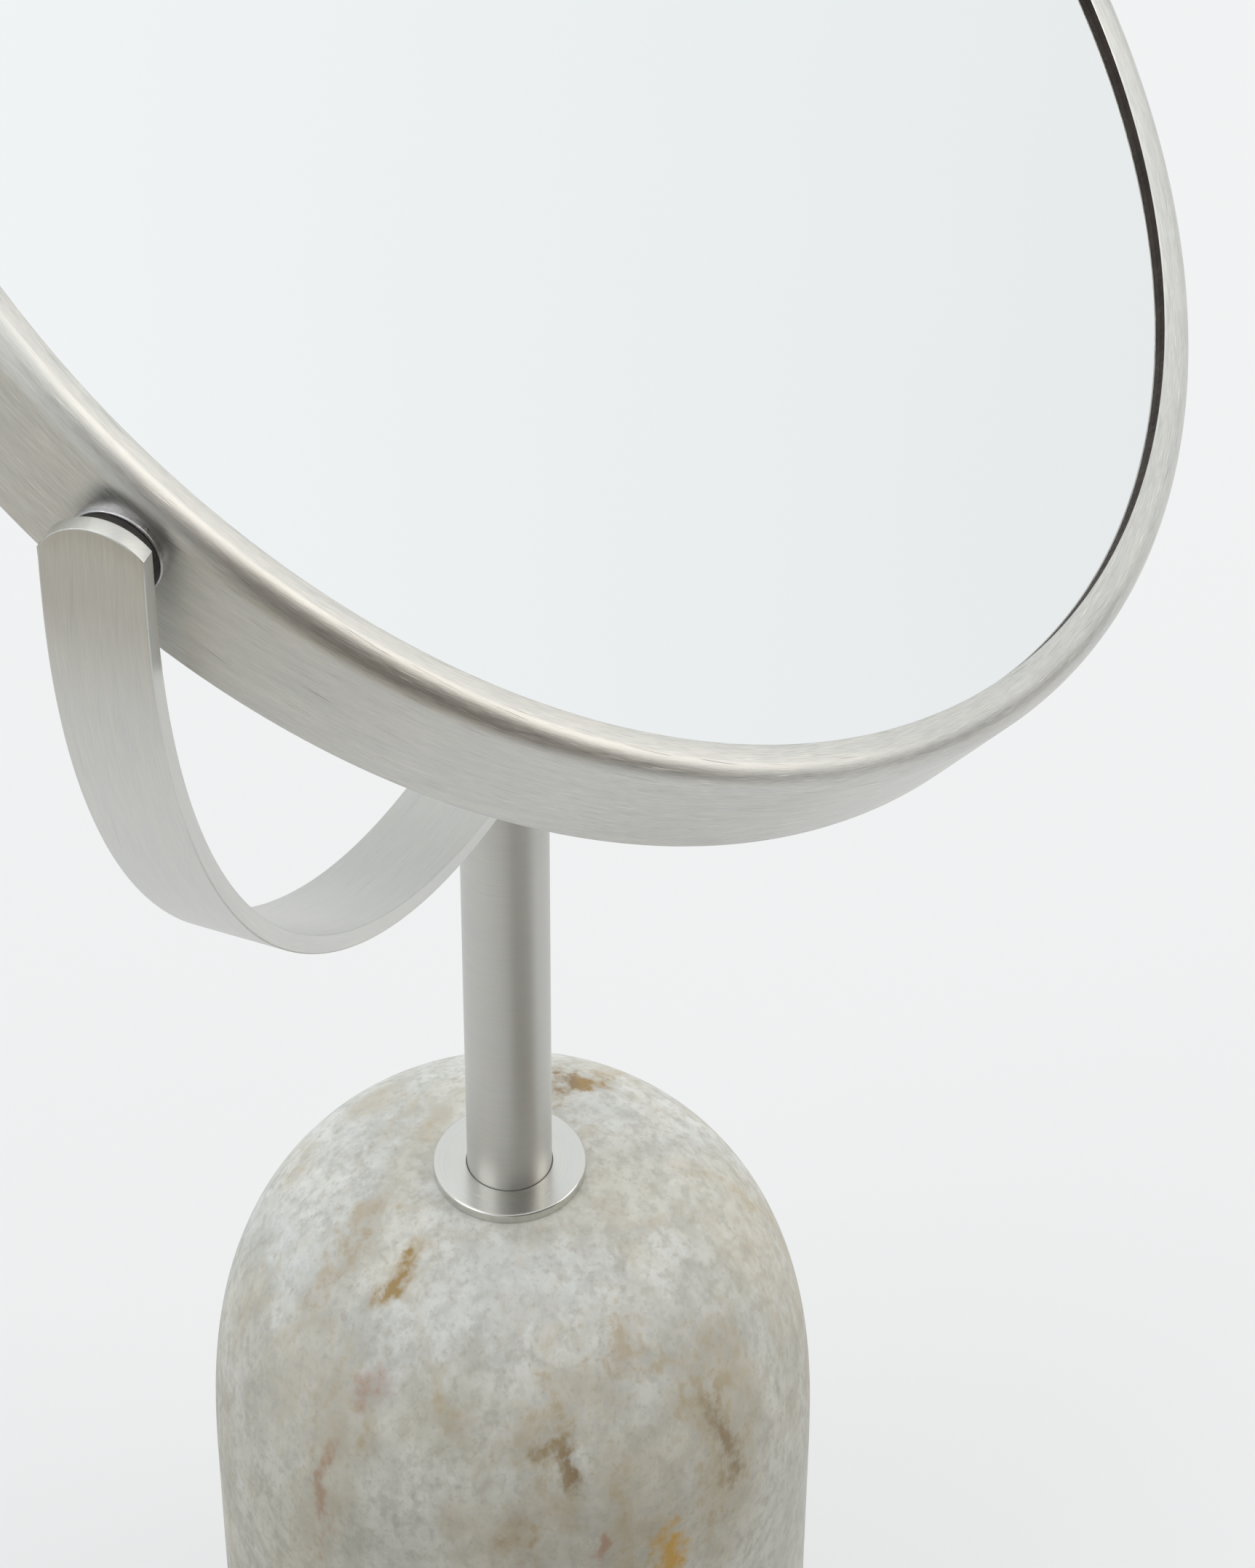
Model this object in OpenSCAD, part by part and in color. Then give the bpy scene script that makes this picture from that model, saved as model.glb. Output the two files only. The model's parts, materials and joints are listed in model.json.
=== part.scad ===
// Extendable shaving mirror: a round double-sided mirror head in a U-shaped yoke, on a round post
// that slides and turns in a domed stone base.
// Units are millimetres. The origin is the centre of the underside, with +Z up.
// The pivot axis of the head runs along X, and the front mirror faces -Y and up.

/* [Mirror head] */
// Outer diameter of the head's steel band
head_d = 200; // [180:1:220]
// Angle between the front mirror's normal and the vertical
head_tilt = 38.5; // [0:0.5:90]
// Height of the front lip's edge above the pivot axis
lip_h = 8.4; // [8:0.1:9]
// Rise of the bezel from the lip's edge to the shoulder
lip_rise = 0.3; // [0.2:0.1:0.6]
// Radius of the rounded front shoulder
shoulder_r = 2.8; // [2.6:0.1:3.2]
// Depth of the band behind the pivot axis
back_h = 7.7; // [7.7:0.1:9]
// Thickness of the sheet steel, which also sets how deep the glass sits behind the lip
sheet_t = 1.4; // [1:0.1:1.5]
// Width of the bezel, from the band's outside to the lip's edge
bezel_w = 5; // [4.5:0.1:6]
// Thickness of each mirror glass
glass_t = 3; // [2:0.1:3]
// Radius of curvature of the magnifying mirror
magnifier_r = 1300; // [1200:10:2000]

/* [Yoke] */
// Width of the flat bar that the yoke is bent from
bar_w = 12; // [11:0.5:14]
// Thickness of the flat bar
bar_t = 2.3; // [2:0.1:3]
// Space between the head's band and each arm
arm_gap = 3.6; // [3.4:0.1:4]
// Straight length of each arm below the pivot axis
arm_drop = 4; // [3:0.5:12]
// Radius of each arm's rounded end
arm_end_r = 7.2; // [7:0.1:9]
// Height of each arm's end above the pivot axis
arm_top = 7.1; // [6:0.1:8]
// Lean of each arm's rounded end towards the front
arm_end_lean = 0.5; // [0:0.1:0.6]

/* [Pivots] */
// Diameter of each pivot stud's bearing shoulder
stud_d = 4; // [3:0.1:4.4]
// Radial running clearance of every turning or sliding fit
running_gap = 0.05; // [0.02:0.01:0.1]
// Diameter of the steel ferrule's flange
ferrule_d = 10.9; // [9:0.1:12]
// Thickness of the ferrule's flange
ferrule_t = 0.8; // [0.6:0.1:1.8]
// Diameter of the dark friction washer
washer_d = 10.6; // [8:0.1:10.8]

/* [Post] */
// Outer diameter of the post
post_d = 12; // [10:0.5:14]
// Wall thickness of the post
post_wall = 1.5; // [1:0.1:2]
// Height of the pivot axis above the table with the post fully out
pivot_z = 312.5; // [300:0.5:330]
// Height of the post's lower end above the table with the post fully out
post_foot_z = 80; // [80:1:90]

/* [Base] */
// Diameter of the stone base
base_d = 88; // [84:1:100]
// Height of the stone's flat seat above the table
seat_z = 120; // [115:1:125]
// Height of the dome
dome_h = 59.5; // [50:0.1:62]
// Fullness of the dome's outline, where 2 is an ellipse
dome_fullness = 2.87; // [2.6:0.01:3.4]
// Diameter of the collar flange
flange_d = 21.6; // [20:0.1:24]
// Thickness of the collar flange
flange_t = 1.6; // [1:0.1:2.5]
// Thickness of the foot pad
pad_t = 1.5; // [1:0.1:3]

/* [Hidden] */
$fn = 96;

// Mirror head
head_r = head_d / 2;
lip_r = head_r - bezel_w;
band_inner_r = head_r - sheet_t;
shoulder_x = head_r - shoulder_r;
shoulder_top = lip_h + lip_rise;
shoulder_z = shoulder_top - shoulder_r;
glass_h = shoulder_top - sheet_t;
glass_r = head_r - 3.1;
lip_edge_t = 0.15;
back_chamfer = 0.4;
seal_inset = 0.1;
seal_gap = 0.06;
seal_wall = glass_t + 0.4;
bezel_step = 0.2;
rear_lip_h = back_h - 0.3;
rear_glass_h = rear_lip_h - 0.7;
rear_apex_h = cap_h(magnifier_r, glass_r) - rear_glass_h;
spacer_gap = 0.05;
spacer_w = 13;
spacer_r = head_r - 9;

// Pivots, as distances from the head's centre along X
arm_inner_x = head_r + arm_gap;
arm_outer_x = arm_inner_x + bar_t;
ferrule_face_x = head_r + ferrule_t;
ferrule_end_x = head_r - 3;
ferrule_barrel_d = stud_d + 2;
stud_seat_depth = 1.2;
stud_shoulder_x = head_r - 3.4;
stud_end_x = head_r - 7.2;
thread_d = 3;
spring_t = 1;
spring_sheet_t = 0.5;
nut_face_x = ferrule_end_x - spring_t;
nut_t = 2.4;
nut_flats = 5.5;

// Yoke
yoke_r = arm_outer_x;
yoke_bottom_z = pivot_z - arm_drop - yoke_r;

// Post, glide and guide
post_r = post_d / 2;
post_bore_d = post_d - 2 * post_wall;
groove_depth = 0.4;
ring_t = 1.2;
ring_r = post_r + 1.2;
glide_h = 14;
glide_z = post_foot_z + 4;
ring_clearance = 0.2;
lower_ring_z = glide_z - ring_clearance - ring_t;
upper_ring_z = glide_z + glide_h + ring_clearance;
sleeve_bore_r = 7.5;
sleeve_r = 8.5;
sleeve_foot_z = 7.5;
oring_d = 1.4;
bush_z = upper_ring_z + ring_t + ring_clearance;
bush_top_z = seat_z - 2.4;
end_plug_h = 8;

// Base
base_r = base_d / 2;
dome_z = seat_z + 0.4 - dome_h;
dome_steps = 40;
edge_chamfer = 1.5;
stone_bore_d = 2 * sleeve_r + 0.2;
plate_d = 74;
plate_t = 4;
plate_top_z = pad_t + plate_t;
pocket_d = 36;
pocket_top_z = 17.5;
clamp_washer_d = 34;
clamp_washer_t = 2;
sleeve_nut_flats = 24;
sleeve_nut_t = 6;
screw_d = 4;
screw_head_d = 9;
screw_head_h = 2.5;
screw_length = 11;
screw_circle_d = 56;
screw_count = 3;
insert_d = 6;
insert_h = 8;
pad_d = 80;

// Height of a sphere's cap of radius r at the distance x from its axis
function cap_h(r, x) = r - sqrt(r * r - x * x);

// Point of the dome's outline at an angle above the horizontal
function dome_point(a) = [
    base_r * pow(cos(a), 2 / dome_fullness),
    dome_z + dome_h * pow(sin(a), 2 / dome_fullness)
];

// Point of an arc round the shoulder's centre, at an angle above the band
function shoulder_point(r, a) = [shoulder_x + r * cos(a), shoulder_z + r * sin(a)];

// Places the children in the head's own frame: its centre at the origin and its front along +Z
module in_head() {
    translate([0, 0, pivot_z])
        rotate([head_tilt, 0, 0])
            children();
}

// Repeats the children on both pivots, with +Z pointing outwards from the head's centre
module on_pivots() {
    for (side = [-1, 1])
        rotate([0, 90 * side, 0])
            children();
}

// Repeats the children at the same places beside the yoke, which doesn't tilt
module on_arms() {
    translate([0, 0, pivot_z])
        on_pivots()
            children();
}

// Round tube or washer between two heights
module ring(r_out, r_in, z0, z1) {
    translate([0, 0, z0])
        difference() {
            cylinder(r = r_out, h = z1 - z0);
            translate([0, 0, -1])
                cylinder(r = r_in, h = z1 - z0 + 2);
        }
}

// Hexagonal nut with a round hole, standing on the plane z = 0
module hex_nut(flats, hole_d, h) {
    difference() {
        cylinder(d = flats / cos(30), h = h, $fn = 6);
        translate([0, 0, -1])
            cylinder(d = hole_d, h = h + 2);
    }
}

// Repeats the children at the base plate's screws
module on_screws() {
    for (i = [0 : screw_count - 1])
        rotate([0, 0, 90 + i * 360 / screw_count])
            translate([screw_circle_d / 2, 0, 0])
                children();
}

// Base ---------------------------------------------------------------------------------------

// Domed stone body with a through bore, a pocket for the clamp nut and a recess for the plate
module stone_base() {
    color([0.78, 0.77, 0.74])
        difference() {
            rotate_extrude()
                polygon(concat(
                    [[0, pad_t], [base_r - edge_chamfer, pad_t], [base_r, pad_t + edge_chamfer]],
                    [for (i = [0 : dome_steps - 1]) dome_point(90 * i / dome_steps)],
                    [[0, dome_z + dome_h]]
                ));
            translate([0, 0, seat_z])
                cylinder(r = base_r, h = 5);
            cylinder(d = stone_bore_d, h = seat_z + 5);
            cylinder(d = pocket_d, h = pocket_top_z);
            cylinder(d = plate_d + 0.4, h = plate_top_z);
            on_screws()
                cylinder(d = insert_d, h = plate_top_z + insert_h);
        }
}

// Flat steel collar that closes the sleeve on top of the stone
module collar_flange() {
    color([0.82, 0.81, 0.78])
        ring(flange_d / 2, post_r + running_gap, seat_z, seat_z + flange_t);
}

// Steel tube through the stone, in which the post slides
module guide_sleeve() {
    color([0.7, 0.7, 0.68])
        ring(sleeve_r, sleeve_bore_r, sleeve_foot_z, seat_z);
}

// Plain bearing at the sleeve's mouth
module upper_bush() {
    color([0.9, 0.9, 0.86])
        ring(sleeve_bore_r, post_r + running_gap, bush_z, bush_top_z);
}

// Rubber ring that grips the post, so that it stays at its height
module friction_ring() {
    color([0.12, 0.12, 0.12])
        translate([0, 0, (bush_top_z + seat_z) / 2])
            rotate_extrude()
                translate([(post_r + sleeve_bore_r) / 2, 0])
                    circle(d = oring_d);
}

// Washer that spreads the clamp nut's load over the stone
module clamp_washer() {
    color([0.72, 0.72, 0.72])
        ring(clamp_washer_d / 2, sleeve_r, pocket_top_z - clamp_washer_t, pocket_top_z);
}

// Nut on the sleeve's lower end
module sleeve_nut() {
    color([0.78, 0.68, 0.4])
        translate([0, 0, pocket_top_z - clamp_washer_t - sleeve_nut_t])
            hex_nut(sleeve_nut_flats, 2 * sleeve_r, sleeve_nut_t);
}

// Plastic plug that closes the sleeve's lower end
module sleeve_plug() {
    color([0.15, 0.15, 0.15])
        translate([0, 0, sleeve_foot_z])
            cylinder(r = sleeve_bore_r, h = 5);
}

// Steel plate that closes the underside and adds weight
module base_plate() {
    color([0.6, 0.6, 0.6])
        difference() {
            translate([0, 0, pad_t])
                cylinder(d = plate_d, h = plate_t);
            on_screws() {
                cylinder(d = screw_d + 0.5, h = plate_top_z + 1);
                translate([0, 0, pad_t])
                    cylinder(d1 = screw_head_d + 0.4, d2 = screw_d, h = screw_head_h);
            }
        }
}

// Countersunk screws that hold the base plate
module plate_screws() {
    color([0.5, 0.5, 0.5])
        on_screws()
            translate([0, 0, pad_t]) {
                cylinder(d1 = screw_head_d, d2 = screw_d, h = screw_head_h);
                cylinder(d = screw_d, h = screw_length);
            }
}

// Brass inserts that the plate screws go into
module threaded_inserts() {
    color([0.8, 0.68, 0.35])
        on_screws()
            ring(insert_d / 2, screw_d / 2, plate_top_z, plate_top_z + insert_h);
}

// Soft pad that the base stands on
module foot_pad() {
    color([0.13, 0.13, 0.13])
        cylinder(d = pad_d, h = pad_t);
}

// Post ---------------------------------------------------------------------------------------

// Plastic glide that slides in the sleeve, and in which the post turns
module glide_bush() {
    color([0.88, 0.88, 0.84])
        ring(sleeve_bore_r - running_gap, post_r + running_gap, glide_z, glide_z + glide_h);
}

// Groove for one retaining ring, in the post's outside
module ring_groove(z) {
    ring(post_r + 1, post_r - groove_depth, z, z + ring_t);
}

// Steel tube with its top cut to the yoke's curve
module post_tube() {
    color([0.75, 0.74, 0.71])
        difference() {
            ring(post_r, post_bore_d / 2, post_foot_z, yoke_bottom_z + 2);
            translate([0, 0, yoke_bottom_z + yoke_r])
                rotate([90, 0, 0])
                    cylinder(r = yoke_r, h = 2 * post_d, center = true, $fn = 256);
            ring_groove(lower_ring_z);
            ring_groove(upper_ring_z);
        }
}

// Plug in the post's lower end
module post_end_plug() {
    color([0.15, 0.15, 0.15])
        translate([0, 0, post_foot_z])
            cylinder(d = post_bore_d, h = end_plug_h);
}

// Rings that keep the glide in its place on the post
module retaining_rings() {
    color([0.4, 0.4, 0.42])
        for (z = [lower_ring_z, upper_ring_z])
            ring(ring_r, post_r - groove_depth, z, z + ring_t);
}

// Half-ring of bar below the arms' straight ends
module yoke_bend() {
    translate([0, 0, pivot_z - arm_drop])
        rotate([90, 0, 0])
            rotate([0, 0, 180])
                rotate_extrude(angle = 180, $fn = 256)
                    translate([arm_inner_x, -bar_w / 2])
                        square([bar_t, bar_w]);
}

// Straight end of one arm, seen along the pivot axis, with its rounded top
module arm_outline() {
    intersection() {
        translate([-bar_w / 2, -arm_drop])
            square([bar_w, arm_drop + arm_top + 1]);
        translate([-arm_end_lean, arm_top - arm_end_r])
            circle(r = arm_end_r);
    }
    translate([-bar_w / 2, -arm_drop])
        square([bar_w, arm_drop]);
}

// Flat bar bent to a U, with a blind seat for each pivot stud
module yoke() {
    color([0.76, 0.75, 0.72])
        difference() {
            union() {
                yoke_bend();
                for (x = [-arm_outer_x, arm_inner_x])
                    translate([x, 0, pivot_z])
                        rotate([90, 0, 90])
                            linear_extrude(bar_t)
                                arm_outline();
            }
            on_arms()
                translate([0, 0, arm_inner_x - 1])
                    cylinder(d = stud_d, h = 1 + stud_seat_depth);
        }
}

// Shouldered studs fixed in the arms
module pivot_studs() {
    color([0.6, 0.6, 0.62])
        on_arms() {
            translate([0, 0, stud_shoulder_x])
                cylinder(d = stud_d, h = arm_inner_x + stud_seat_depth - stud_shoulder_x);
            translate([0, 0, stud_end_x])
                cylinder(d = thread_d, h = stud_shoulder_x - stud_end_x);
        }
}

// Dark fibre washers between the arms and the head's ferrules
module friction_washers() {
    color([0.12, 0.11, 0.1])
        on_arms()
            ring(washer_d / 2, stud_d / 2 + 0.1, ferrule_face_x, arm_inner_x);
}

// Cone washers that press the head against the friction washers
module spring_washers() {
    color([0.55, 0.55, 0.57])
        on_arms()
            translate([0, 0, nut_face_x])
                rotate_extrude()
                    polygon([
                        [stud_d / 2 + 0.1, 0],
                        [ferrule_barrel_d / 2, spring_t - spring_sheet_t],
                        [ferrule_barrel_d / 2, spring_t],
                        [stud_d / 2 + 0.1, spring_sheet_t]
                    ]);
}

// Nuts that set the pivots' friction, inside the head
module lock_nuts() {
    color([0.66, 0.66, 0.68])
        on_arms()
            translate([0, 0, nut_face_x - nut_t])
                hex_nut(nut_flats, thread_d, nut_t);
}

// Mirror head --------------------------------------------------------------------------------

// Section of the spun steel rim: band, rounded shoulder and bezel
module rim_section() {
    polygon([
        [band_inner_r, -back_h],
        [head_r - back_chamfer, -back_h],
        [head_r, -back_h + back_chamfer],
        [head_r, shoulder_z],
        [band_inner_r, shoulder_z]
    ]);
    translate([shoulder_x, shoulder_z])
        intersection() {
            difference() {
                circle(r = shoulder_r);
                circle(r = shoulder_r - sheet_t);
            }
            square(shoulder_r);
        }
    polygon([
        [lip_r, lip_h],
        [lip_r, lip_h - lip_edge_t],
        [shoulder_x, shoulder_top - sheet_t],
        [shoulder_x, shoulder_top]
    ]);
}

// Steel rim with the two pivot holes
module mirror_rim() {
    color([0.76, 0.75, 0.72])
        in_head()
            difference() {
                rotate_extrude($fn = 192)
                    rim_section();
                on_pivots()
                    translate([0, 0, head_r - 10])
                        cylinder(d = ferrule_barrel_d, h = 20);
            }
}

// Flanged ferrules that line the rim's pivot holes
module pivot_ferrules() {
    color([0.66, 0.65, 0.68])
        in_head()
            difference() {
                union() {
                    difference() {
                        on_pivots()
                            translate([0, 0, head_r - 0.5])
                                cylinder(d = ferrule_d, h = ferrule_t + 0.5);
                        cylinder(r = head_r, h = 2 * ferrule_d, center = true, $fn = 192);
                    }
                    on_pivots()
                        translate([0, 0, ferrule_end_x])
                            cylinder(d = ferrule_barrel_d, h = ferrule_face_x - ferrule_end_x);
                }
                on_pivots()
                    translate([0, 0, head_r - 10])
                        cylinder(r = stud_d / 2 + running_gap, h = 20);
            }
}

// Plain front mirror
module front_glass() {
    color([0.86, 0.9, 0.92])
        in_head()
            translate([0, 0, glass_h - glass_t])
                cylinder(r = glass_r, h = glass_t, $fn = 192);
}

// Dark gasket under the lip and round the front glass
module front_seal() {
    color([0.16, 0.14, 0.13])
        in_head()
            rotate_extrude($fn = 192)
                polygon(concat(
                    [
                        [lip_r + seal_inset, glass_h],
                        [glass_r, glass_h],
                        [glass_r, glass_h - seal_wall],
                        [band_inner_r - seal_gap, glass_h - seal_wall]
                    ],
                    [for (a = [0 : 15 : 90]) shoulder_point(shoulder_r - sheet_t - seal_gap, a)],
                    [[lip_r + seal_inset, lip_h - lip_edge_t - seal_gap - 0.03]]
                ));
}

// Foam ring that keeps the two glasses apart
module spacer_ring() {
    rear_z = rear_apex_h + glass_t + spacer_gap;
    color([0.3, 0.3, 0.3])
        in_head()
            rotate_extrude($fn = 192)
                polygon([
                    [spacer_r - spacer_w, glass_h - glass_t - spacer_gap],
                    [spacer_r, glass_h - glass_t - spacer_gap],
                    [spacer_r, rear_z - cap_h(magnifier_r, spacer_r)],
                    [spacer_r - spacer_w, rear_z - cap_h(magnifier_r, spacer_r - spacer_w)]
                ]);
}

// Concave magnifying mirror on the rear
module rear_glass() {
    color([0.86, 0.9, 0.92])
        in_head()
            rotate_extrude($fn = 192)
                intersection() {
                    translate([0, rear_apex_h - magnifier_r])
                        difference() {
                            circle(r = magnifier_r + glass_t, $fn = 256);
                            circle(r = magnifier_r, $fn = 256);
                        }
                    translate([0, -2 * glass_h])
                        square([glass_r, 3 * glass_h]);
                }
}

// Dark gasket round the rear glass
module rear_seal() {
    color([0.16, 0.14, 0.13])
        in_head()
            rotate_extrude($fn = 192)
                polygon([
                    [lip_r + seal_inset, -rear_glass_h],
                    [glass_r, -rear_glass_h],
                    [glass_r, seal_wall - rear_glass_h],
                    [glass_r + 0.35, seal_wall - rear_glass_h],
                    [glass_r + 0.35, -rear_glass_h],
                    [glass_r, 0.5 - rear_lip_h],
                    [lip_r + seal_inset, lip_edge_t + seal_gap - rear_lip_h]
                ]);
}

// Steel ring pressed into the band from behind, which holds the rear glass
module rear_bezel() {
    color([0.76, 0.75, 0.72])
        in_head()
            rotate_extrude($fn = 192)
                polygon([
                    [lip_r, -rear_lip_h],
                    [band_inner_r, bezel_step - back_h],
                    [band_inner_r, glass_t - rear_glass_h],
                    [glass_r + 0.4, glass_t - rear_glass_h],
                    [glass_r + 0.4, -rear_glass_h],
                    [glass_r, 0.5 - rear_lip_h],
                    [lip_r, lip_edge_t - rear_lip_h]
                ]);
}

stone_base();
collar_flange();
guide_sleeve();
upper_bush();
friction_ring();
clamp_washer();
sleeve_nut();
sleeve_plug();
base_plate();
plate_screws();
threaded_inserts();
foot_pad();
glide_bush();
post_tube();
post_end_plug();
retaining_rings();
yoke();
pivot_studs();
friction_washers();
spring_washers();
lock_nuts();
mirror_rim();
pivot_ferrules();
front_glass();
front_seal();
spacer_ring();
rear_glass();
rear_seal();
rear_bezel();
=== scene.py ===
import json
import math

import bmesh
import bpy
from mathutils import Matrix, Vector


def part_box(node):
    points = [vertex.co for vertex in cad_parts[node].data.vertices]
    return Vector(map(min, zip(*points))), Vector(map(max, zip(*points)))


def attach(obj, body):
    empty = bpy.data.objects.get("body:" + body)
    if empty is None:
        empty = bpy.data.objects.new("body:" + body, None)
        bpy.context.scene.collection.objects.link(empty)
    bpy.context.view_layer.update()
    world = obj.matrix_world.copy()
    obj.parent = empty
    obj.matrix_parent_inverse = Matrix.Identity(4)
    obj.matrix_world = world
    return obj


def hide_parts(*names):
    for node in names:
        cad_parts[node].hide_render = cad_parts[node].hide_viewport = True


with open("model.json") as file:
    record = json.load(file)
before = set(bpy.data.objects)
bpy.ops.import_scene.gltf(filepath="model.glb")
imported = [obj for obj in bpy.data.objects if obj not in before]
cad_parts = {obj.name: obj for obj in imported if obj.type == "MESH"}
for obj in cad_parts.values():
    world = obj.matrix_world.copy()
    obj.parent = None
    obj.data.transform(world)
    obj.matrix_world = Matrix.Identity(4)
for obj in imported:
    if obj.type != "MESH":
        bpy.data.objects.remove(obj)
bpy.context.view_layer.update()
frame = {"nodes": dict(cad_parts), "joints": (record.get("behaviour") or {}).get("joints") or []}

MM = 0.001
SCENE = bpy.context.scene


# ---------------------------------------------------------------- places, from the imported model

def joint(name):
    """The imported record's joint of that name."""
    return next(j for j in frame["joints"] if j["name"] == name)


def box_size(node):
    """The size of a CAD node's box at rest."""
    low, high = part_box(node)
    return high - low


PIVOT = Vector(joint("mirror_tilt")["pos_m"])
HEAD_TILT = math.radians(38.5)
HEAD = Matrix.Translation(PIVOT) @ Matrix.Rotation(HEAD_TILT, 4, "X")

HEAD_R = box_size("mirror_rim").x / 2
ARM_OUT = box_size("yoke").x / 2
BAR_W = box_size("yoke").y
BAR_T = 2.3 * MM
ARM_IN = ARM_OUT - BAR_T
YOKE_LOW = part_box("yoke")[0].z
ARM_DROP = PIVOT.z - YOKE_LOW - ARM_OUT
ARM_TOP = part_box("yoke")[1].z - PIVOT.z
ARM_END_R = 7.2 * MM
ARM_END_LEAN = 0.5 * MM
POST_R = box_size("post_tube").x / 2
POST_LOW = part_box("post_tube")[0].z
POST_WALL = 1.5 * MM
SEAT_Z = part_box("collar_flange")[0].z
FLANGE_R = box_size("collar_flange").x / 2
FLANGE_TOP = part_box("collar_flange")[1].z
PAD_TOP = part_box("foot_pad")[1].z
PAD_R = box_size("foot_pad").x / 2

BASE_R = 44 * MM
BASE_CHAMFER = 1.5 * MM
DOME_H = 59.5 * MM
DOME_Z = SEAT_Z + 0.4 * MM - DOME_H
DOME_FULLNESS = 2.87
SEAT_R = 11 * MM
STONE_BORE_R = 8.6 * MM
NUT_POCKET_R = 18 * MM
NUT_POCKET_TOP = 17.5 * MM
PLATE_RECESS_R = 37.2 * MM
PLATE_RECESS_TOP = 5.5 * MM
FOOT_RING_R = 40 * MM
# turned parts start their UVs here, on the side away from the camera
SEAM = math.radians(23)

LIP_R = HEAD_R - 5 * MM
LIP_H = 8.4 * MM
LIP_RISE = 0.3 * MM
SHOULDER_R = 2.8 * MM
BACK_H = 7.7 * MM
SHEET_T = 1.4 * MM
LIP_EDGE_T = 0.15 * MM
GLASS_R = HEAD_R - 3.1 * MM
GLASS_T = 3 * MM
GLASS_H = LIP_H + LIP_RISE - SHEET_T
REAR_LIP_H = BACK_H - 0.3 * MM
REAR_GLASS_H = REAR_LIP_H - 0.7 * MM
MAGNIFIER_R = 1300 * MM
STUD_BORE_R = 2.05 * MM
WASHER_BORE_R = 2.15 * MM
BARREL_R = 3 * MM


# ---------------------------------------------------------------- mesh helpers

def new_object(name, mesh):
    """A linked object for a mesh."""
    made = bpy.data.objects.new(name, mesh)
    SCENE.collection.objects.link(made)
    return made


def arc(cx, cy, r, start, end, steps):
    """Points on an arc in a profile, angles in degrees, both ends included."""
    out = []
    for i in range(steps + 1):
        a = math.radians(start + (end - start) * i / steps)
        out.append((cx + r * math.cos(a), cy + r * math.sin(a)))
    return out


def rounded(corners, steps=3, closed=True):
    """A profile through corners, each rounded by its radius if it has one."""
    out = []
    n = len(corners)
    for i, corner in enumerate(corners):
        p = Vector(corner[:2])
        r = corner[2] if len(corner) > 2 else 0
        if (not closed and i in (0, n - 1)) or r <= 0:
            out.append(tuple(p))
            continue
        before = (Vector(corners[i - 1][:2]) - p).normalized()
        after = (Vector(corners[(i + 1) % n][:2]) - p).normalized()
        half = before.angle(after) / 2
        if half > math.radians(88):
            out.append(tuple(p))
            continue
        reach = r / math.tan(half)
        centre = p + (before + after).normalized() * (r / math.sin(half))
        a, b = p + before * reach - centre, p + after * reach - centre
        turn = a.angle_signed(b)
        for k in range(steps + 1):
            t = -turn * k / steps
            c, s = math.cos(t), math.sin(t)
            out.append((centre.x + a.x * c - a.y * s, centre.y + a.x * s + a.y * c))
    return out


def supported(points, closed=True, reach=0.05 * MM):
    """The profile with a point close to each end of its long stretches, so that flats shade flat."""
    out = []
    n = len(points)
    for i in range(n if closed else n - 1):
        a, b = Vector(points[i]), Vector(points[(i + 1) % n])
        out.append(tuple(a))
        length = (b - a).length
        if length > 6 * reach:
            out.append(tuple(a.lerp(b, reach / length)))
            out.append(tuple(b.lerp(a, reach / length)))
    if not closed:
        out.append(points[-1])
    return out


def mesh_of(bm, name):
    """Turns a bmesh into a mesh, and frees it."""
    mesh = bpy.data.meshes.new(name)
    bm.to_mesh(mesh)
    bm.free()
    return mesh


def finish_mesh(bm, name, place, sharp=34):
    """Turns a bmesh into an object in its place, smooth but for its sharp edges."""
    bmesh.ops.recalc_face_normals(bm, faces=bm.faces)
    mesh = mesh_of(bm, name)
    mesh.transform(place)
    mesh.shade_smooth()
    mesh.set_sharp_from_angle(angle=math.radians(sharp))
    return new_object(name, mesh)


def distinct(corners):
    """Corners without the ones that repeat a vertex, which each corner holds first."""
    kept = []
    for corner in corners:
        if corner[0] not in [k[0] for k in kept]:
            kept.append(corner)
    return kept


def turned_rings(bm, profile, segments, start, bend):
    """One ring of vertices for each point of a profile. A point on the axis has a single vertex."""
    rings = []
    for r, h in profile:
        if r < 1e-7:
            rings.append([bm.verts.new((0, 0, h))] * segments)
            continue
        ring = []
        for k in range(segments):
            a = start + 2 * math.pi * k / segments
            point = Vector((r * math.cos(a), r * math.sin(a), h))
            ring.append(bm.verts.new(bend(point) if bend else point))
        rings.append(ring)
    return rings


IN_PLACE = Matrix.Identity(4)


def revolve(name, profile, segments, place=IN_PLACE, closed=True, start=0.0, bend=None, sharp=34):
    """Turns a profile of (radius, height) about Z. UVs are metres along the circle and the profile."""
    bm = bmesh.new()
    uv = bm.loops.layers.uv.new("UVMap")
    along = [0.0]
    rows = len(profile)
    for i in range(rows):
        a, b = Vector(profile[i]), Vector(profile[(i + 1) % rows])
        along.append(along[-1] + (b - a).length)
    girth = 2 * math.pi * max(p[0] for p in profile)
    rings = turned_rings(bm, profile, segments, start, bend)
    for i in range(rows if closed else rows - 1):
        ring, above = rings[i], rings[(i + 1) % rows]
        for k in range(segments):
            m = (k + 1) % segments
            quad = [(ring[k], k, i), (ring[m], k + 1, i), (above[m], k + 1, i + 1), (above[k], k, i + 1)]
            corners = distinct(quad)
            if len(corners) < 3:
                continue
            face = bm.faces.new([c[0] for c in corners])
            for loop, (_, turn, row) in zip(face.loops, corners):
                loop[uv].uv = (girth * turn / segments, along[row])
    return finish_mesh(bm, name, place, sharp)


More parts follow.
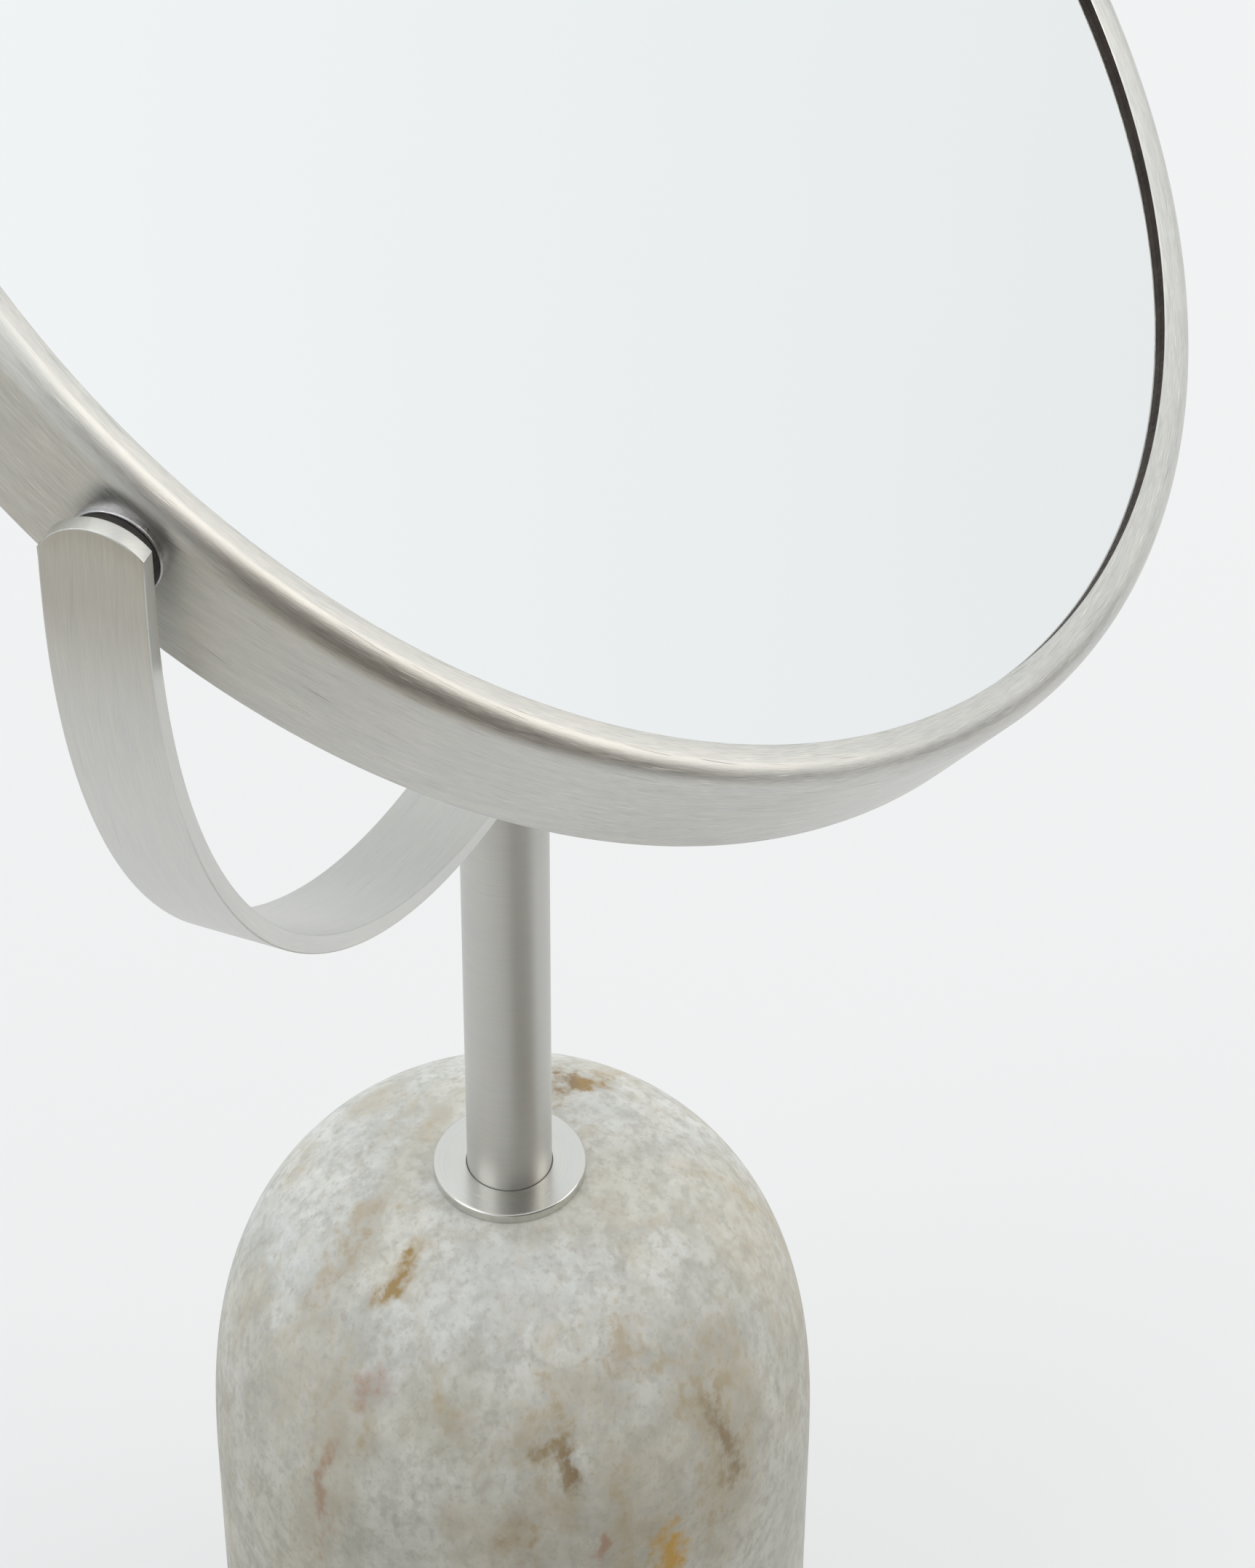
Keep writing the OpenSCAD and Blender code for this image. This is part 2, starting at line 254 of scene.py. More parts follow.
def flat_ring(name, bore, r, faces, edges, segments, place=IN_PLACE, start=0.0, bend=None):
    """A ring about Z between two face heights. Edges are eased in turn from the first face's bore."""
    first, last = faces
    corners = [(bore, first, edges[0]), (r, first, edges[1]), (r, last, edges[2]), (bore, last, edges[3])]
    return revolve(name, supported(rounded(corners)), segments, place, start=start, bend=bend)


def sideways(frame_matrix, side):
    """The frame turned so that its +Z points out along the pivot axis, to the left (-1) or right (+1)."""
    return frame_matrix @ Matrix.Rotation(math.radians(90 * side), 4, "Y")


def join(name, objects):
    """Joins meshes into one object."""
    bm = bmesh.new()
    for o in objects:
        bm.from_mesh(o.data)
    mesh = mesh_of(bm, name)
    for o in objects:
        bpy.data.objects.remove(o)
    mesh.shade_smooth()
    return new_object(name, mesh)


# ---------------------------------------------------------------- material helpers

class Nodes:
    """A material's node tree, with short calls for the nodes used here."""

    def __init__(self, name):
        self.material = bpy.data.materials.new(name)
        self.material.use_nodes = True
        self.tree = self.material.node_tree
        self.shader = self.tree.nodes["Principled BSDF"]

    def add(self, kind, inputs=None, **settings):
        """A new node with its settings and its input values or links."""
        node = self.tree.nodes.new(kind)
        for key, value in settings.items():
            setattr(node, key, value)
        for key, value in (inputs or {}).items():
            self.put(value, node.inputs[key])
        return node

    def put(self, value, socket):
        """Links a socket or sets its value."""
        if isinstance(value, bpy.types.NodeSocket):
            self.tree.links.new(value, socket)
        else:
            socket.default_value = value

    def set(self, **values):
        """Sets the shader's inputs, with _ for the spaces in their names."""
        for key, value in values.items():
            self.put(value, self.shader.inputs[key.replace("_", " ")])

    def uv(self):
        return self.add("ShaderNodeUVMap", uv_map="UVMap").outputs["UV"]

    def place(self):
        return self.add("ShaderNodeTexCoord").outputs["Object"]

    def axes(self, vector):
        return self.add("ShaderNodeSeparateXYZ", {"Vector": vector}).outputs

    def mapped(self, vector, scale=(1, 1, 1), turn=(0, 0, 0), shift=(0, 0, 0), kind="POINT"):
        inputs = {"Vector": vector, "Scale": scale, "Rotation": turn, "Location": shift}
        return self.add("ShaderNodeMapping", inputs, vector_type=kind).outputs[0]

    def noise(self, vector, scale, detail=2.0, rough=0.5, warp=0.0):
        inputs = {"Vector": vector, "Scale": scale, "Detail": detail, "Roughness": rough, "Distortion": warp}
        return self.add("ShaderNodeTexNoise", inputs).outputs["Fac"]

    def cells(self, vector, scale, feature):
        inputs = {"Vector": vector, "Scale": scale}
        return self.add("ShaderNodeTexVoronoi", inputs, feature=feature).outputs["Distance"]

    def math(self, operation, a, b):
        node = self.add("ShaderNodeMath", operation=operation)
        self.put(a, node.inputs[0])
        self.put(b, node.inputs[1])
        return node.outputs[0]

    def product(self, *values):
        """All the values multiplied together."""
        total = values[0]
        for value in values[1:]:
            total = self.math("MULTIPLY", total, value)
        return total

    def shifted(self, operation, vector, by):
        """A vector added to, multiplied by or less another."""
        return self.add("ShaderNodeVectorMath", {0: vector, 1: by}, operation=operation).outputs[0]

    def fit(self, value, low, high, to_low=0.0, to_high=1.0, smooth=False):
        """The value's range from low to high turned into the range from to_low to to_high, and clamped."""
        inputs = {"Value": value, "From Min": low, "From Max": high, "To Min": to_low, "To Max": to_high}
        kind = "SMOOTHSTEP" if smooth else "LINEAR"
        return self.add("ShaderNodeMapRange", inputs, clamp=True, interpolation_type=kind).outputs[0]

    def mix(self, factor, a, b, blend="MIX"):
        node = self.add("ShaderNodeMix", data_type="RGBA", blend_type=blend)
        self.put(factor, node.inputs["Factor"])
        self.put(a, node.inputs[6])
        self.put(b, node.inputs[7])
        return node.outputs[2]

    def bump(self, height, strength, distance):
        inputs = {"Height": height, "Strength": strength, "Distance": distance}
        return self.add("ShaderNodeBump", inputs).outputs[0]


def grey(v, tint):
    """An opaque colour of that lightness and tint."""
    return (v * tint[0], v * tint[1], v * tint[2], 1.0)


STEEL_TINT = (0.99, 0.992, 0.955)
WARM_STEEL_TINT = (1.0, 0.985, 0.93)
CROSS_SKEW = 5


def brushed_steel(name, light, stroke, length, skew, roughness, bump, grain):
    """Steel with fine strokes along U, as a sanding belt leaves them. Strokes in mm, skew in degrees."""
    n = Nodes(name)
    base = n.mapped(n.uv(), turn=(0, 0, math.radians(skew)))
    cross = n.mapped(n.uv(), turn=(0, 0, math.radians(skew - CROSS_SKEW)))

    def strokes(vector, along, across, shift, detail, rough=0.5):
        """Noise drawn out along the strokes."""
        scale = (along / (length * MM), across / (stroke * MM), 1)
        return n.noise(n.mapped(vector, scale, shift=shift), 1.0, detail, rough)

    fine = strokes(base, 1, 1, (0, 0, 0), 3.0, 0.65)
    short = strokes(cross, 2.2, 1.3, (7.3, 2.1, 0), 2.0)
    broad = strokes(base, 0.3, 0.1, (3.1, 9.7, 0), 4.0, 0.65)
    cloud = n.noise(n.place(), 60.0, 2.0, 0.5)
    scratch = n.fit(strokes(cross, 0.5, 0.8, (1.7, 5.5, 0), 1.0), 0.68, 0.76)
    glint = n.fit(strokes(base, 0.7, 0.9, (8.7, 1.5, 0), 1.0), 0.67, 0.76)
    lines = n.math("ADD", n.product(fine, 0.6), n.product(short, 0.4))
    tone = n.product(
        n.fit(lines, 0.32, 0.68, 1 - 0.1 * grain, 1 + 0.1 * grain),
        n.fit(broad, 0.3, 0.7, 1 - 0.03 * grain, 1 + 0.03 * grain),
        n.fit(cloud, 0.3, 0.7, 0.98, 1.02),
        n.fit(scratch, 0, 1, 1.0, 1 - 0.22 * grain),
        n.fit(glint, 0, 1, 1.0, 1 + 0.2 * grain),
    )
    tint = n.mix(n.fit(broad, 0.35, 0.65), grey(light, STEEL_TINT), grey(light, WARM_STEEL_TINT))
    tones = n.add("ShaderNodeCombineColor", {"Red": tone, "Green": tone, "Blue": tone}).outputs[0]
    n.set(Base_Color=n.mix(1.0, tint, tones, "MULTIPLY"), Metallic=1.0)
    n.set(Roughness=n.fit(lines, 0.3, 0.7, roughness - 0.07, roughness + 0.09))
    n.set(Anisotropic=0.7, Anisotropic_Rotation=0.25)
    n.set(Tangent=n.add("ShaderNodeTangent", direction_type="UV_MAP", uv_map="UVMap").outputs[0])
    relief = n.math("ADD", lines, n.product(n.math("SUBTRACT", glint, scratch), 0.4))
    n.set(Normal=n.bump(relief, bump, 0.02 * MM))
    return n.material


def turned_steel(name, light, roughness=0.3, tint=(1, 1, 1)):
    """Plain machined metal for small parts, with fine grain and wear by place."""
    n = Nodes(name)
    place = n.place()
    grain = n.noise(place, 2500.0, 3.0, 0.6)
    wear = n.noise(place, 350.0, 3.0, 0.6)
    fleck = n.fit(n.noise(place, 1400.0, 1.0), 0.62, 0.72)
    colour = n.mix(n.fit(wear, 0.35, 0.7), grey(light, tint), grey(light * 1.2, tint))
    colour = n.mix(n.product(fleck, 0.5), colour, grey(min(1.0, light * 1.6), tint))
    n.set(Base_Color=colour, Metallic=1.0)
    n.set(Roughness=n.fit(grain, 0.3, 0.7, roughness - 0.08, roughness + 0.12))
    n.set(Normal=n.bump(grain, 0.25, 0.02 * MM))
    return n.material


def mirror_glass(name):
    """Silvered glass, with the faintest cool tint and haze."""
    n = Nodes(name)
    place = n.place()
    haze = n.noise(place, 9.0, 3.0, 0.5)
    dust = n.fit(n.noise(place, 900.0, 1.0), 0.74, 0.8)
    colour = n.mix(n.fit(haze, 0.3, 0.7), (0.94, 0.95, 0.95, 1), (0.95, 0.96, 0.96, 1))
    n.set(Base_Color=colour, Metallic=1.0)
    n.set(Roughness=n.math("ADD", n.fit(haze, 0.3, 0.7, 0.004, 0.01), n.product(dust, 0.05)))
    return n.material


def dark_rubber(name, low, high, tint, roughness=0.6):
    """Dark rubber or fibre with a matt, slightly dusty surface."""
    n = Nodes(name)
    place = n.place()
    grain = n.noise(place, 1800.0, 3.0, 0.65)
    patch = n.noise(place, 220.0, 2.0, 0.5)
    n.set(Base_Color=n.mix(n.fit(patch, 0.3, 0.7), grey(low, tint), grey(high, tint)))
    n.set(Roughness=n.fit(grain, 0.3, 0.7, roughness - 0.12, roughness + 0.15), Specular_IOR_Level=0.2)
    n.set(Normal=n.bump(grain, 0.5, 0.05 * MM))
    return n.material


def plastic(name, colour, roughness=0.45):
    """Moulded plastic with a fine surface."""
    n = Nodes(name)
    place = n.place()
    grain = n.noise(place, 1500.0, 2.0)
    flow = n.noise(place, 90.0, 2.0)
    dark = tuple(c * 0.85 for c in colour) + (1.0,)
    n.set(Base_Color=n.mix(n.fit(flow, 0.3, 0.7), dark, colour + (1.0,)))
    n.set(Roughness=n.fit(grain, 0.3, 0.7, roughness - 0.08, roughness + 0.1))
    n.set(Normal=n.bump(grain, 0.2, 0.03 * MM))
    return n.material


STAINS = [
    # angle round the stone, height, width, length (mm), slant (degrees), strength, colour
    (-3, 118, 5, 4, 0, 0.9, "brown"),
    (-8, 117, 3, 3, 0, 0.7, "ochre"),
    (159, 117, 2.5, 6, -40, 0.95, "ochre"),
    (140, 113, 4, 6, 0, 0.45, "ochre"),
    (132, 117, 4, 3, 0, 0.5, "ochre"),
    (163, 88, 2, 13, 0, 0.75, "rust"),
    (162, 96, 7, 34, 0, 0.4, "sand"),
    (150, 103, 9, 20, 0, 0.35, "sand"),
    (167, 107, 3, 4, 0, 0.5, "rust"),
    (-147, 101, 3, 6, 4, 0.9, "brown"),
    (-152, 105, 8, 5, 20, 0.5, "sand"),
    (-140, 109, 7, 5, 25, 0.45, "sand"),
    (-125, 111, 5, 5, 0, 0.55, "ochre"),
    (-127, 79, 4, 9, 0, 1.0, "gold"),
    (-113, 96, 9, 26, -6, 0.65, "sand"),
    (-135, 88, 6, 22, 3, 0.55, "sand"),
    (-150, 94, 4, 9, -5, 0.5, "sand"),
    (-112, 93, 3, 12, -10, 0.6, "brown"),
    (-102, 101, 7, 16, 0, 0.4, "sand"),
    (-140, 84, 3, 4, 0, 0.6, "rust"),
    (-158, 90, 5, 5, 10, 0.5, "ochre"),
    (-170, 92, 4, 5, 0, 0.4, "sand"),
    (73, 115, 6, 4, 0, 0.4, "sand"),
    (20, 75, 9, 20, 6, 0.5, "sand"),
    (48, 95, 4, 7, -15, 0.8, "ochre"),
    (95, 60, 5, 12, 0, 0.7, "brown"),
    (-60, 85, 8, 18, 4, 0.5, "sand"),
    (-35, 70, 3, 15, 0, 0.6, "rust"),
    (-20, 40, 5, 14, 5, 0.8, "gold"),
    (-120, 30, 5, 16, -4, 0.7, "ochre"),
    (160, 35, 4, 12, 0, 0.7, "brown"),
]
STAIN_COLOURS = {
    "brown": (0.19, 0.115, 0.04, 1), "ochre": (0.29, 0.185, 0.06, 1), "gold": (0.52, 0.31, 0.055, 1),
    "rust": (0.34, 0.17, 0.12, 1), "sand": (0.37, 0.30, 0.185, 1),
}


GROUND_TONES = ((0.48, 0.475, 0.44, 1), (0.60, 0.595, 0.56, 1))
GROUND_LAYERS = [
    # the noise it follows, the range of that, its strength at each end of the range, colour
    ("middle", 0.45, 0.66, 0, 0.36, (0.63, 0.63, 0.61, 1)),
    ("middle", 0.34, 0.52, 0.5, 0, (0.40, 0.395, 0.365, 1)),
    ("grain", 0.36, 0.52, 0.45, 0, (0.34, 0.32, 0.28, 1)),
    ("cloud", 0.52, 0.7, 0, 0.4, (0.53, 0.55, 0.55, 1)),
    ("cloud", 0.34, 0.5, 0.42, 0, (0.47, 0.42, 0.31, 1)),
    ("cells", 0.0, 0.35, 0.16, 0, (0.72, 0.71, 0.68, 1)),
    ("veins", 0.0, 0.06, 0.14, 0, (0.30, 0.27, 0.22, 1)),
    ("fine", 0.55, 0.7, 0, 0.32, (0.31, 0.26, 0.19, 1)),
]
STREAK_COLOUR = (0.38, 0.29, 0.165, 1)
# painted light and shade: the stone is coloured lighter and cooler at its top and darker and warmer lower
# down, as light from above falls on it
PAINTED_LIGHT_HEIGHTS = (0.124, 0.082)
PAINTED_TOP_LIGHT_AND_LOW_SHADE = ((1.27, 1.29, 1.30, 1), (0.86, 0.85, 0.80, 1))


def stone_reach(height):
    """Radius of the stone at a height."""
    if height <= DOME_Z:
        return BASE_R
    sine = min(1.0, ((height - DOME_Z) / DOME_H) ** (DOME_FULLNESS / 2))
    return BASE_R * math.cos(math.asin(sine)) ** (2 / DOME_FULLNESS)


def ragged_place(n, place):
    """The place pushed about at random, up to 6 mm each way, for ragged edges."""
    push = n.add("ShaderNodeTexNoise", {"Vector": place, "Scale": 120.0, "Detail": 3.0}).outputs["Color"]
    push = n.shifted("SUBTRACT", push, (0.5, 0.5, 0.5))
    return n.shifted("ADD", place, n.shifted("MULTIPLY", push, (12 * MM, 12 * MM, 12 * MM)))


def stone_noises(n, place, ragged):
    """The patterns that the stone's layers follow."""
    return {
        "grain": n.noise(n.mapped(place, (1, 1, 0.75)), 560.0, 4.0, 0.6),
        "fine": n.noise(place, 900.0, 3.0, 0.6),
        "middle": n.noise(n.mapped(place, (1, 1, 0.8), shift=(0.9, 0.4, 0.6)), 230.0, 3.0, 0.6),
        "patch": n.noise(n.mapped(place, (1, 1, 0.6), shift=(0.31, 0.12, 0.07)), 75.0, 4.0, 0.6, 0.5),
        "cloud": n.noise(n.mapped(place, (1, 1, 0.45), shift=(0.5, 0.7, 0.2)), 30.0, 3.0, 0.55, 0.8),
        "cells": n.cells(ragged, 260.0, "F1"),
        "veins": n.cells(ragged, 90.0, "DISTANCE_TO_EDGE"),
    }


def add_streaks(n, colour, ragged, noises):
    """Mixes upright ochre streaks into the stone, strongest where its clouds are warm."""
    upright = n.mapped(ragged, (1, 1, 0.2), shift=(0.11, 0.77, 0.2))
    streak = n.fit(n.noise(upright, 140.0, 3.0, 0.6), 0.52, 0.68)
    broken = n.fit(noises["grain"], 0.4, 0.6, 0.25, 1)
    warm = n.fit(noises["cloud"], 0.3, 0.6, 0.8, 0.2)
    return n.mix(n.product(streak, broken, warm), colour, STREAK_COLOUR)


def add_stain(n, colour, ragged, grain, stain):
    """Mixes one soft stain into the stone, broken up by its grain."""
    angle, height, width, length, slant, strength, kind = stain
    a = math.radians(angle)
    reach = stone_reach(height * MM)
    spot = (reach * math.cos(a), reach * math.sin(a), height * MM)
    turn = (0, math.radians(slant), a)
    size = (12 * MM, 1.2 * width * MM, 1.2 * length * MM)
    around = n.mapped(ragged, size, turn, spot, kind="TEXTURE")
    ball = n.add("ShaderNodeTexGradient", {"Vector": around}, gradient_type="SPHERICAL").outputs["Fac"]
    broken = n.math("ADD", ball, n.product(n.math("SUBTRACT", grain, 0.5), 2.6))
    amount = n.product(n.fit(broken, 0.1, 0.9), n.fit(ball, 0.0, 0.45), strength)
    return n.mix(amount, colour, STAIN_COLOURS[kind]), amount


def honed_stone(name):
    """Pale grey stone: granular ground, blue-grey and cream clouds, streaks, stains that pit it, and painted
    light and shade, lighter at the top and darker lower down.
    """
    n = Nodes(name)
    place = n.place()
    ragged = ragged_place(n, place)
    noises = stone_noises(n, place, ragged)
    grain, fine, patch = noises["grain"], noises["fine"], noises["patch"]
    colour = n.mix(n.fit(patch, 0.38, 0.62), *GROUND_TONES)
    for key, low, high, to_low, to_high, layer in GROUND_LAYERS:
        colour = n.mix(n.fit(noises[key], low, high, to_low, to_high), colour, layer)
    colour = add_streaks(n, colour, ragged, noises)
    pits = 0.0
    for stain in STAINS:
        colour, amount = add_stain(n, colour, ragged, grain, stain)
        if stain[-1] == "brown":
            pits = n.math("MAXIMUM", pits, amount)
    # painted light and shade: the colour is multiplied lighter and cooler at the top and darker and warmer
    # lower down
    height = n.math("ADD", n.axes(place)["Z"], n.product(patch, 0.01))
    shade = n.mix(n.fit(height, *PAINTED_LIGHT_HEIGHTS, smooth=True), *PAINTED_TOP_LIGHT_AND_LOW_SHADE)
    n.set(Base_Color=n.mix(1.0, colour, shade, "MULTIPLY"))
    n.set(Roughness=n.fit(grain, 0.3, 0.7, 0.62, 0.5))
    relief = n.math("ADD", n.product(grain, 0.5), n.product(fine, 0.25))
    n.set(Normal=n.bump(n.math("SUBTRACT", relief, pits), 0.4, 0.1 * MM))
    return n.material


# name, lightness, stroke width and length (mm), skew (degrees), roughness, bump, grain
STEEL_RIM = brushed_steel("steel_rim", 0.635, 0.11, 4.5, 2.5, 0.36, 1.0, 1.8)
STEEL_YOKE = brushed_steel("steel_yoke", 0.62, 0.11, 10, 0.5, 0.34, 0.5, 0.8)
STEEL_POST = brushed_steel("steel_post", 0.56, 0.12, 12, 0, 0.42, 0.5, 0.5)
STEEL_COLLAR = brushed_steel("steel_collar", 0.68, 0.16, 12, 0, 0.22, 0.15, 0.4)
STEEL_SMALL = turned_steel("steel_small", 0.42, tint=(1.0, 0.99, 1.02))
STEEL_INNER = turned_steel("steel_inner", 0.5)
BRASS = turned_steel("brass_small", 0.6, 0.28, (1.0, 0.78, 0.42))
MIRROR = mirror_glass("mirror_glass")
SEAL = dark_rubber("seal_rubber", 0.02, 0.04, (1.0, 0.74, 0.6))
FIBRE = dark_rubber("fibre_washer", 0.02, 0.06, (1.0, 0.93, 0.87), 0.7)
RUBBER = dark_rubber("black_rubber", 0.015, 0.035, (1, 1, 1), 0.65)
ACETAL = plastic("acetal", (0.78, 0.78, 0.74))
BLACK_PLASTIC = plastic("black_plastic", (0.03, 0.03, 0.032))
FOAM = plastic("foam", (0.09, 0.09, 0.095), 0.85)
STONE = honed_stone("honed_stone")


def dress(piece, material, body, slot=None, *nodes):
    """Gives a made piece its material and body, and hides the CAD nodes that it stands for. The slot is not
    used.
    """
    piece.data.materials.clear()
    piece.data.materials.append(material)
    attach(piece, body)
    if nodes:
        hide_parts(*nodes)
    return piece


def repaint(node, material):
    """Gives a CAD node that stays its material."""
    mesh = frame["nodes"][node].data
    mesh.materials.clear()
    mesh.materials.append(material)


# ---------------------------------------------------------------- mirror head

def make_rim():
    """Spun steel rim: crisp back edge, flat band, rounded shoulder and a thin lip."""
    top = LIP_H + LIP_RISE
    cx, cy = HEAD_R - SHOULDER_R, top - SHOULDER_R
    profile = [(LIP_R, LIP_H - LIP_EDGE_T), (LIP_R + 0.01 * MM, LIP_H - 0.08 * MM)]
    profile += [(LIP_R + 0.06 * MM, LIP_H - 0.02 * MM), (LIP_R + 0.14 * MM, LIP_H)]
    profile += [(LIP_R + 0.24 * MM, LIP_H + 0.015 * MM)]
    profile += arc(cx, cy, SHOULDER_R, 90, 0, 14)
    profile += [(HEAD_R, cy - 0.1 * MM)]
    profile += [(HEAD_R, h * MM) for h in (3, 0, -3, -6)]
    edge = 0.35 * MM
    profile += [(HEAD_R, edge - BACK_H + 0.05 * MM)]
    profile += arc(HEAD_R - edge, edge - BACK_H, edge, 0, -90, 4)
    profile += [(HEAD_R - SHEET_T + 0.1 * MM, -BACK_H), (HEAD_R - SHEET_T, 0.1 * MM - BACK_H)]
    profile += [(HEAD_R - SHEET_T, h * MM) for h in (-5, -2, 2)]
    profile += arc(cx, cy, SHOULDER_R - SHEET_T, 0, 90, 8)
    rim = revolve("rim", profile, 384, HEAD)
    return dress(rim, STEEL_RIM, "head", "steel_brushed", "mirror_rim")


def make_glass():
    """Flat front mirror with a ground edge, and the concave magnifying mirror behind."""
    arris = 0.3 * MM
    back = GLASS_H - GLASS_T
    front = [(0, GLASS_H), (GLASS_R - arris, GLASS_H), (GLASS_R, GLASS_H - arris)]
    front += [(GLASS_R, back + arris), (GLASS_R - arris, back), (0, back)]
    plate = revolve("front_mirror", front, 256, HEAD, closed=False)
    dress(plate, MIRROR, "head", "mirror_glass", "front_glass")

    def sag(r):
        return MAGNIFIER_R - math.sqrt(MAGNIFIER_R ** 2 - r * r)

    apex = sag(GLASS_R) - REAR_GLASS_H
    steps = 24
    radii = [GLASS_R * i / steps for i in range(steps + 1)]
    rear = [(r, apex - sag(r)) for r in radii]
    rear += [(r, apex + GLASS_T - sag(r)) for r in reversed(radii)]
    bowl = revolve("rear_mirror", rear, 256, HEAD, closed=False)
    dress(bowl, MIRROR, "head", "mirror_glass", "rear_glass")


def make_seals():
    """Dark gaskets under the front lip and the rear bezel."""
    inner = LIP_R + 0.1 * MM
    gap = 0.06 * MM
    top = LIP_H + LIP_RISE
    foot = GLASS_H - GLASS_T - 0.4 * MM
    front = [(inner, GLASS_H + 0.01 * MM), (GLASS_R, GLASS_H + 0.01 * MM), (GLASS_R + 0.02 * MM, foot)]
    front += [(HEAD_R - SHEET_T - gap, foot)]
    front += arc(HEAD_R - SHOULDER_R, top - SHOULDER_R, SHOULDER_R - SHEET_T - gap, 0, 90, 6)
    front += [(inner + 0.12 * MM, LIP_H - LIP_EDGE_T - 0.12 * MM), (inner, LIP_H - LIP_EDGE_T - 0.16 * MM)]
    dress(revolve("front_gasket", front, 256, HEAD), SEAL, "head", "seal", "front_seal")
    glass = -REAR_GLASS_H
    lining = 3.4 * MM
    outer = GLASS_R + 0.33 * MM
    lip = LIP_EDGE_T - REAR_LIP_H
    rear = [
        (inner, glass), (GLASS_R, glass), (GLASS_R + 0.02 * MM, glass + lining), (outer, glass + lining),
        (outer, glass), (GLASS_R, 0.52 * MM - REAR_LIP_H),
        (inner + 0.1 * MM, lip + 0.08 * MM), (inner, lip + 0.14 * MM),
    ]
    dress(revolve("rear_gasket", rear, 256, HEAD), SEAL, "head", "seal", "rear_seal")


def make_rear_bezel():
    """Pressed ring that closes the band from behind."""
    outer = HEAD_R - SHEET_T - 0.02 * MM
    inner = GLASS_R + 0.4 * MM
    top = GLASS_T - REAR_GLASS_H
    corners = [
        (LIP_R, -REAR_LIP_H, 0.06 * MM), (outer, 0.2 * MM - BACK_H, 0.25 * MM), (outer, top, 0.1 * MM),
        (inner, top, 0.1 * MM), (inner, -REAR_GLASS_H, 0.1 * MM),
        (GLASS_R, 0.5 * MM - REAR_LIP_H, 0.1 * MM), (LIP_R, LIP_EDGE_T - REAR_LIP_H, 0.06 * MM),
    ]
    bezel = revolve("rear_ring", supported(rounded(corners)), 384, HEAD)
    dress(bezel, STEEL_RIM, "head", "steel_brushed", "rear_bezel")


# ---------------------------------------------------------------- yoke and pivots

BEND_R = ARM_OUT - BAR_T / 2
BEND_HALF = BEND_R * math.pi / 2
BEVEL = 0.2 * MM
EASE = 0.06 * MM
# how far below its rounded tip an arm has points, in mm, and the share of the tip's fall there
ARM_FALL = ((0.1, 0.97), (0.5, 0.85), (1.2, 0.6), (2.2, 0.3), (3.4, 0.1))


def bar_point(s, w, n):
    """A point of the bent bar: s along it from the middle of the bend, to the right, w across, n outwards."""
    if abs(s) <= BEND_HALF:
        a = s / BEND_R
        r = BEND_R + n
        return Vector((r * math.sin(a), w, PIVOT.z - ARM_DROP - r * math.cos(a)))
    side = 1 if s > 0 else -1
    return Vector((side * (BEND_R + n), w, PIVOT.z - ARM_DROP + abs(s) - BEND_HALF))


def yoke_outline(inset):
    """The bar's two long edges as (s, w, fall), from the right arm's tip to the left arm's tip."""
    r = ARM_END_R - inset
    centre = BEND_HALF + ARM_DROP + ARM_TOP - ARM_END_R
    side = BAR_W / 2 - inset
    bend_steps = 160
    bend = [(BEND_HALF * (1 - 2 * k / bend_steps), side, 0.0) for k in range(bend_steps + 1)]
    out = []
    for front in (1, -1):
        lean = front * ARM_END_LEAN
        start, corner = math.asin(-lean / r), math.asin((side - lean) / r)
        arm = []
        for k in range(17):
            a = start + (corner - start) * k / 16
            arm.append((centre + r * math.cos(a), r * math.sin(a) + lean, 1.0))
        foot = arm[-1][0]
        arm += [(foot - d * MM, side, fall) for d, fall in ARM_FALL]
        straight = arm[-1][0] - BEND_HALF
        arm += [(BEND_HALF + straight * k / 5, side, 0.0) for k in (4, 3, 2, 1)]
        mirrored = [(-s, w, fall) for s, w, fall in reversed(arm)]
        out.append([(s, -front * w, fall) for s, w, fall in arm + bend + mirrored])
    return out


def yoke_layers():
    """The bar's thickness in layers, from the outer face round the eased edge to the inner face.

    Each is its inset from the outline, its height over the mid-plane and its fall at the tips in mm.
    """
    half = BAR_T / 2
    layers = [(1.9 * MM, half, 0.0), (1.3 * MM, half, 0.028), (0.8 * MM, half, 0.07)]
    layers.append((BEVEL + EASE, half, 0.13))
    turns = [math.radians(30 * k) for k in range(4)]
    edge = [(BEVEL * (1 - math.sin(a)), half - BEVEL * (1 - math.cos(a))) for a in turns]
    layers += [(inset, n, 0.14) for inset, n in edge[:3]]
    layers += [(0, half - BEVEL, 0.0), (0, half - BEVEL - EASE, 0.0)]
    layers += [(inset, -n, 0.0) for inset, n in reversed(edge)]
    layers.append((BEVEL + EASE, -half, 0.0))
    return layers


def yoke_sheets(bm):
    """The layers' vertices, as (right line, left line, height). Both lines share their end vertices."""
    sheets = []
    spare = []
    for inset, n, drop in yoke_layers():
        lines = []
        for line in yoke_outline(inset):
            lines.append([(bm.verts.new(bar_point(s, w, n - drop * MM * fall)), s, w) for s, w, fall in line])
        for end in (0, -1):
            spare.append(lines[1][end][0])
            lines[1][end] = lines[0][end]
        sheets.append((lines[0], lines[1], n))
    bmesh.ops.delete(bm, geom=spare, context="VERTS")
    return sheets


